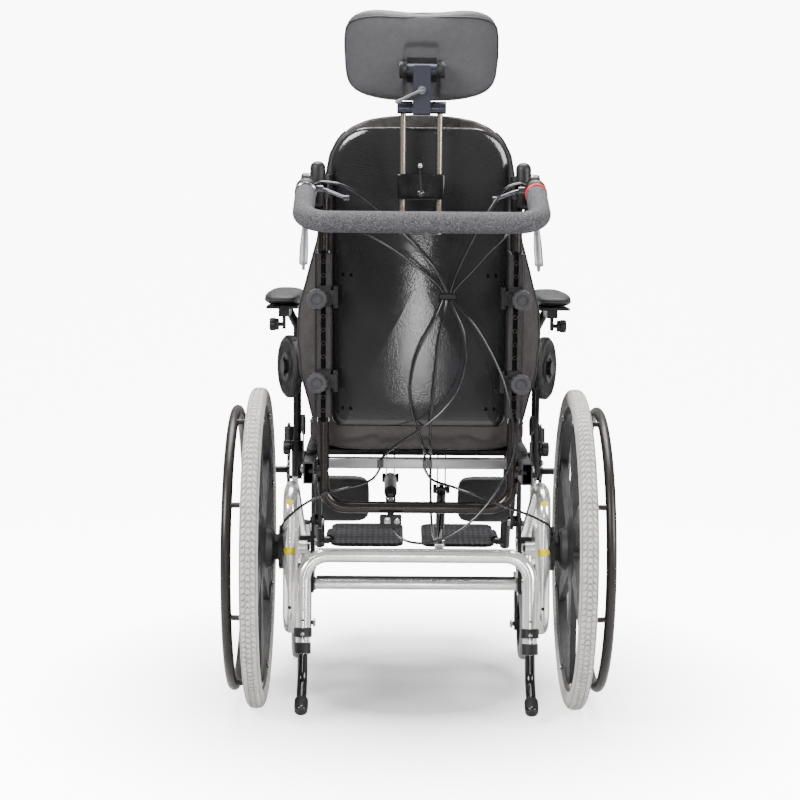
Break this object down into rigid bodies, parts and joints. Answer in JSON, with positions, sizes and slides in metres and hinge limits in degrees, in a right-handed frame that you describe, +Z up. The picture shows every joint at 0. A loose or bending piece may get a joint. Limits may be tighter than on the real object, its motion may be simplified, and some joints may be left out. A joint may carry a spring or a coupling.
{
  "type": "tilt in space wheelchair",
  "caption": "Attendant-pushed tilt in space wheelchair with a reclining shell back, headrest, padded armrests, leg rests with footplates and a foam-covered push bar.",
  "frame": {"origin": "on the floor, under the middle of the bounding box", "axes": "+Y is forward, the way the occupant faces; +X is the occupant's right; +Z is up"},
  "size_m": [0.7048, 0.9891, 1.3108],
  "materials": {
    "frame_silver": "satin silver powder coat",
    "frame_black": "satin black powder coat",
    "champagne_metal": "dark champagne anodised",
    "bright_steel": "bright",
    "tyre_grey": "matt",
    "rim_charcoal": "fine grained",
    "handrim_grey": "dark anodised",
    "black_plastic": "fine grained",
    "black_rubber": "matt",
    "grey_plastic": "fine grained",
    "shell_black": "leather grained",
    "cushion_taupe": "soft",
    "pad_black": "soft",
    "foam_grey": "speckled foam",
    "webbing": "woven"
  },
  "bodies": {
    "base": {"side_frame_left": "frame_silver", "side_frame_right": "frame_silver", "rear_arch": "frame_silver", "cross_tubes": "frame_silver", "tilt_towers": "frame_black", "axle_plates": "frame_silver", "drum_brakes": "black_plastic"},
    "rear_wheel_left": {"tyre_left": "tyre_grey", "wheel_left": "rim_charcoal", "handrim_left": "handrim_grey"},
    "caster_swivel_left": {"caster_fork_left": "frame_black"},
    "caster_roller_left": {"caster_wheel_left": "black_rubber"},
    "anti_tip_arm_left": {"anti_tip_left": "frame_black"},
    "parking_brake_left": {"parking_lever_left": "frame_black"},
    "rear_wheel_right": {"tyre_right": "tyre_grey", "wheel_right": "rim_charcoal", "handrim_right": "handrim_grey"},
    "caster_swivel_right": {"caster_fork_right": "frame_black"},
    "caster_roller_right": {"caster_wheel_right": "black_rubber"},
    "anti_tip_arm_right": {"anti_tip_right": "frame_black"},
    "parking_brake_right": {"parking_lever_right": "frame_black"},
    "seat": {"seat_frame": "frame_black", "seat_pan": "black_plastic", "seat_cushion": "cushion_taupe", "lap_belt": "webbing", "cables_lower": "black_rubber"},
    "back": {"back_tube": "champagne_metal", "back_rails": "champagne_metal", "back_shell": "shell_black", "back_cushion": "cushion_taupe", "back_knobs": "grey_plastic", "push_joints": "frame_black", "head_clamp": "frame_black", "cables_middle": "black_rubber", "cables_upper": "black_rubber"},
    "tilt_spring_body": {"tilt_cylinder": "black_plastic"},
    "tilt_spring_rod": {"tilt_rod": "bright_steel"},
    "recline_spring_body": {"recline_cylinder": "black_plastic"},
    "recline_spring_rod": {"recline_rod": "bright_steel"},
    "arm_left": {"arm_frame_left": "frame_black", "arm_pad_left": "pad_black"},
    "arm_right": {"arm_frame_right": "frame_black", "arm_pad_right": "pad_black"},
    "push_bar": {"push_bar": "champagne_metal", "push_foam": "foam_grey"},
    "brake_lever_left": {"brake_lever_left": "bright_steel"},
    "trigger_left": {"trigger_left": "bright_steel"},
    "brake_lever_right": {"brake_lever_right": "bright_steel"},
    "trigger_right": {"trigger_right": "bright_steel"},
    "headrest_rods": {"head_rods": "champagne_metal"},
    "headrest_stem": {"head_stem": "champagne_metal"},
    "headrest": {"head_mount": "champagne_metal", "headrest_pad": "pad_black"},
    "leg_rest_left": {"leg_hanger_left": "frame_black", "calf_pad_left": "pad_black"},
    "footplate_left": {"footplate_left": "black_plastic"},
    "leg_rest_right": {"leg_hanger_right": "frame_black", "calf_pad_right": "pad_black"},
    "footplate_right": {"footplate_right": "black_plastic"}
  },
  "joints": [
    {"name": "rear_wheel_left_spin", "type": "hinge", "parent": "base", "child": "rear_wheel_left", "pos_m": [-0.301, -0.17556, 0.305], "axis": [1, 0, 0], "continuous": true},
    {"name": "caster_left_swivel", "type": "hinge", "parent": "base", "child": "caster_swivel_left", "pos_m": [-0.24, 0.25444, 0.204], "axis": [0, 0, 1], "continuous": true},
    {"name": "caster_left_spin", "type": "hinge", "parent": "caster_swivel_left", "child": "caster_roller_left", "pos_m": [-0.24, 0.21844, 0.075], "axis": [1, 0, 0], "continuous": true},
    {"name": "anti_tip_left_length", "type": "slide", "parent": "base", "child": "anti_tip_arm_left", "axis": [0, 0.175, 0.9846], "range_m": [0, 0.03]},
    {"name": "parking_brake_left_turn", "type": "hinge", "parent": "base", "child": "parking_brake_left", "pos_m": [-0.262, 0.15942, 0.39476], "axis": [1, 0, 0], "range_deg": [0, 50]},
    {"name": "rear_wheel_right_spin", "type": "hinge", "parent": "base", "child": "rear_wheel_right", "pos_m": [0.301, -0.17556, 0.305], "axis": [1, 0, 0], "continuous": true},
    {"name": "caster_right_swivel", "type": "hinge", "parent": "base", "child": "caster_swivel_right", "pos_m": [0.24, 0.25444, 0.204], "axis": [0, 0, 1], "continuous": true},
    {"name": "caster_right_spin", "type": "hinge", "parent": "caster_swivel_right", "child": "caster_roller_right", "pos_m": [0.24, 0.21844, 0.075], "axis": [1, 0, 0], "continuous": true},
    {"name": "anti_tip_right_length", "type": "slide", "parent": "base", "child": "anti_tip_arm_right", "axis": [0, 0.175, 0.9846], "range_m": [0, 0.03]},
    {"name": "parking_brake_right_turn", "type": "hinge", "parent": "base", "child": "parking_brake_right", "pos_m": [0.262, 0.15942, 0.39476], "axis": [1, 0, 0], "range_deg": [0, 50]},
    {"name": "tilt", "type": "hinge", "parent": "base", "child": "seat", "pos_m": [0, -0.09556, 0.345], "axis": [1, 0, 0], "range_deg": [0, 25], "deforming": ["cables_lower"]},
    {"name": "recline", "type": "hinge", "parent": "seat", "child": "back", "pos_m": [0, -0.25556, 0.462], "axis": [1, 0, 0], "range_deg": [0, 35], "deforming": ["cables_middle"]},
    {"name": "tilt_spring_turn", "type": "hinge", "parent": "seat", "child": "tilt_spring_body", "pos_m": [0.054, 0.07444, 0.384], "axis": [1, 0, 0], "range_deg": [-30.29, 0.5]},
    {"name": "tilt_spring_stroke", "type": "slide", "parent": "tilt_spring_body", "child": "tilt_spring_rod", "axis": [0, 0.6189, -0.7855], "range_m": [-0.0005, 0.07281]},
    {"name": "recline_spring_turn", "type": "hinge", "parent": "seat", "child": "recline_spring_body", "pos_m": [-0.05, 0.07444, 0.406], "axis": [1, 0, 0], "range_deg": [-6, 0.5]},
    {"name": "recline_spring_stroke", "type": "slide", "parent": "recline_spring_body", "child": "recline_spring_rod", "axis": [0, -0.9999, -0.0143], "range_m": [-0.03097, 0.0005]},
    {"name": "arm_left_height", "type": "slide", "parent": "seat", "child": "arm_left", "axis": [0, 0, 1], "range_m": [0, 0.08]},
    {"name": "arm_right_height", "type": "slide", "parent": "seat", "child": "arm_right", "axis": [0, 0, 1], "range_m": [0, 0.08]},
    {"name": "push_bar_angle", "type": "hinge", "parent": "back", "child": "push_bar", "pos_m": [0, -0.28829, 0.997], "axis": [1, 0, 0], "range_deg": [-40, 20], "deforming": ["cables_upper"]},
    {"name": "brake_lever_left_pull", "type": "hinge", "parent": "push_bar", "child": "brake_lever_left", "pos_m": [-0.207, -0.31155, 0.95163], "axis": [-1, 0, 0], "range_deg": [0, 18], "stiffness_Nm_per_rad": 1.2, "springref_deg": -8.59},
    {"name": "trigger_left_press", "type": "hinge", "parent": "push_bar", "child": "trigger_left", "pos_m": [-0.182, -0.32376, 0.98336], "axis": [-1, 0, 0], "range_deg": [0, 20], "stiffness_Nm_per_rad": 0.15, "springref_deg": -8.59},
    {"name": "brake_lever_right_pull", "type": "hinge", "parent": "push_bar", "child": "brake_lever_right", "pos_m": [0.207, -0.31155, 0.95163], "axis": [-1, 0, 0], "range_deg": [0, 18], "stiffness_Nm_per_rad": 1.2, "springref_deg": -8.59},
    {"name": "trigger_right_press", "type": "hinge", "parent": "push_bar", "child": "trigger_right", "pos_m": [0.182, -0.32376, 0.98336], "axis": [-1, 0, 0], "range_deg": [0, 20], "stiffness_Nm_per_rad": 0.15, "springref_deg": -8.59},
    {"name": "headrest_height", "type": "slide", "parent": "back", "child": "headrest_rods", "axis": [0, -0.061, 0.9981], "range_m": [0, 0.045]},
    {"name": "headrest_reach", "type": "hinge", "parent": "headrest_rods", "child": "headrest_stem", "pos_m": [0, -0.32647, 1.12992], "axis": [1, 0, 0], "range_deg": [-5, 25]},
    {"name": "headrest_tip", "type": "hinge", "parent": "headrest_stem", "child": "headrest", "pos_m": [0, -0.33056, 1.19679], "axis": [1, 0, 0], "range_deg": [-3, 30]},
    {"name": "leg_rest_left_lift", "type": "hinge", "parent": "seat", "child": "leg_rest_left", "pos_m": [-0.203, 0.24044, 0.46], "axis": [1, 0, 0], "range_deg": [0, 60]},
    {"name": "footplate_left_flip", "type": "hinge", "parent": "leg_rest_left", "child": "footplate_left", "pos_m": [-0.182, 0.35757, 0.23012], "axis": [0, -1, 0], "range_deg": [0, 90]},
    {"name": "leg_rest_right_lift", "type": "hinge", "parent": "seat", "child": "leg_rest_right", "pos_m": [0.203, 0.24044, 0.46], "axis": [1, 0, 0], "range_deg": [0, 60]},
    {"name": "footplate_right_flip", "type": "hinge", "parent": "leg_rest_right", "child": "footplate_right", "pos_m": [0.182, 0.35757, 0.23012], "axis": [0, 1, 0], "range_deg": [0, 90]}
  ],
  "couplings": [
    {"joint": "tilt_spring_turn", "follows": "tilt", "ratio": -1.1916},
    {"joint": "tilt_spring_stroke", "follows": "tilt", "m_per_rad": 0.16572},
    {"joint": "recline_spring_turn", "follows": "recline", "ratio": -0.15728},
    {"joint": "recline_spring_stroke", "follows": "recline", "m_per_rad": -0.049884}
  ]
}
